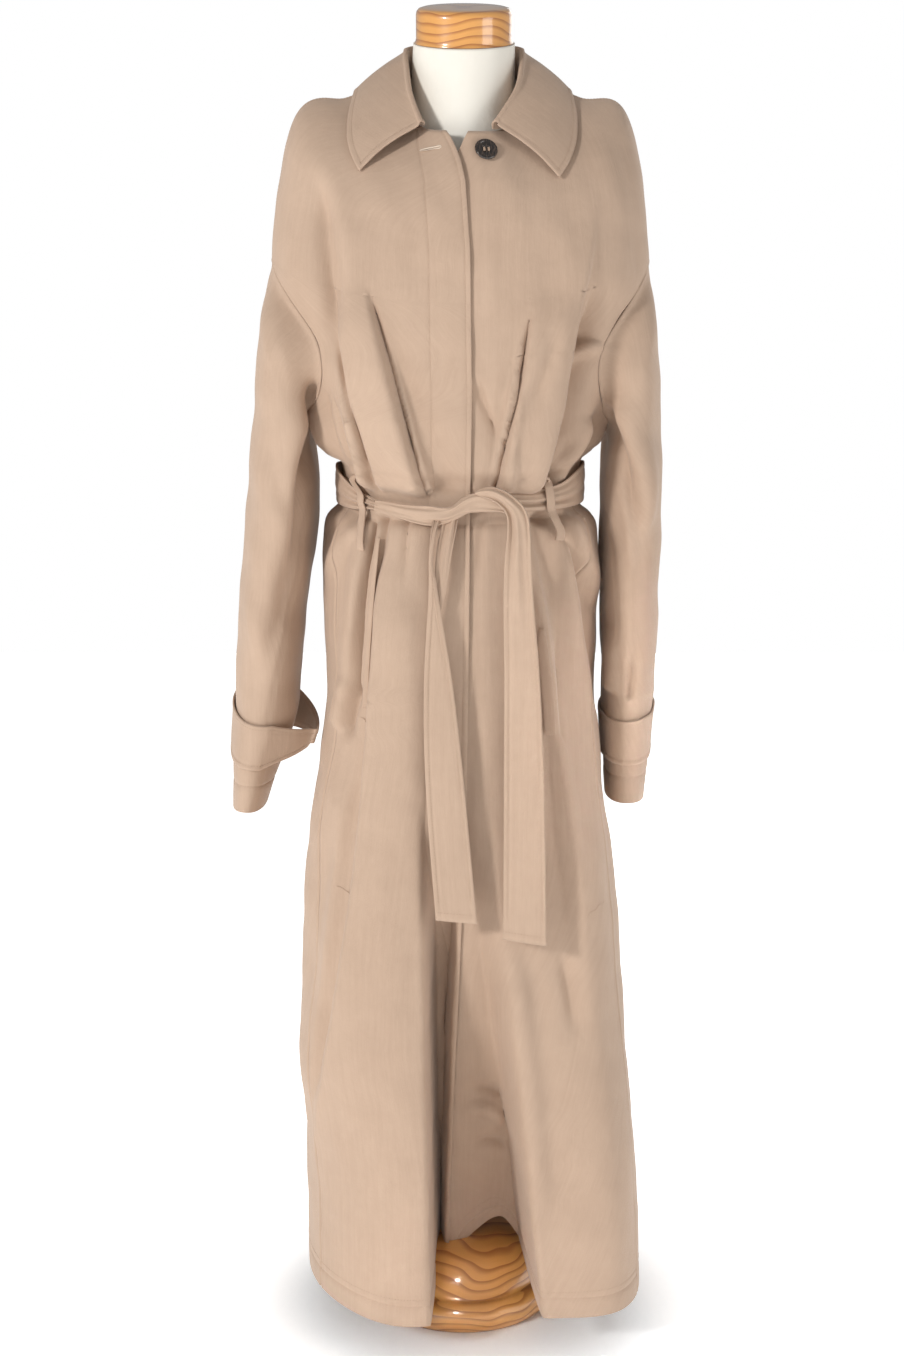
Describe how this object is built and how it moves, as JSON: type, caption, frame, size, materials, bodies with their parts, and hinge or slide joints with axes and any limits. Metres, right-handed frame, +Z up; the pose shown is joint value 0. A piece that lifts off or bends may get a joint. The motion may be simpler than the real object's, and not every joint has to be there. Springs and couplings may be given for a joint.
{
  "type": "trench coat on a dress form",
  "caption": "Long belted trench coat with a turned-down collar, concealed front and cuff straps, worn by a limbless linen dress form on a turned wooden stand.",
  "frame": {"origin": "the centre of the stand's underside, on the floor", "axes": "+Z up, the coat faces -Y, +X is the wearer's left; all pieces are modelled in place in this frame"},
  "size_m": [0.4936, 0.3751, 1.5131],
  "materials": {
    "coat": "fine cotton twill, matt with a soft sheen",
    "button": "dark horn, polished",
    "linen": "plain-weave linen, matt",
    "wood": "varnished pine, glossy",
    "pole": "plain tube, satin"
  },
  "bodies": {
    "root": {"front_right": "coat", "front_left": "coat", "back": "coat", "sleeve_right": "coat", "sleeve_left": "coat", "collar": "coat", "belt_band": "coat", "belt_knot": "coat", "belt_tail_right": "coat", "belt_tail_left": "coat", "belt_loop_right": "coat", "belt_loop_left": "coat", "pocket_welt_right": "coat", "pocket_welt_left": "coat", "cuff_strap_right": "coat", "cuff_strap_left": "coat", "neck_button": "button", "form_torso": "linen", "neck_cap": "wood", "stand_base": "wood", "stand_pole": "pole"}
  },
  "joints": []
}
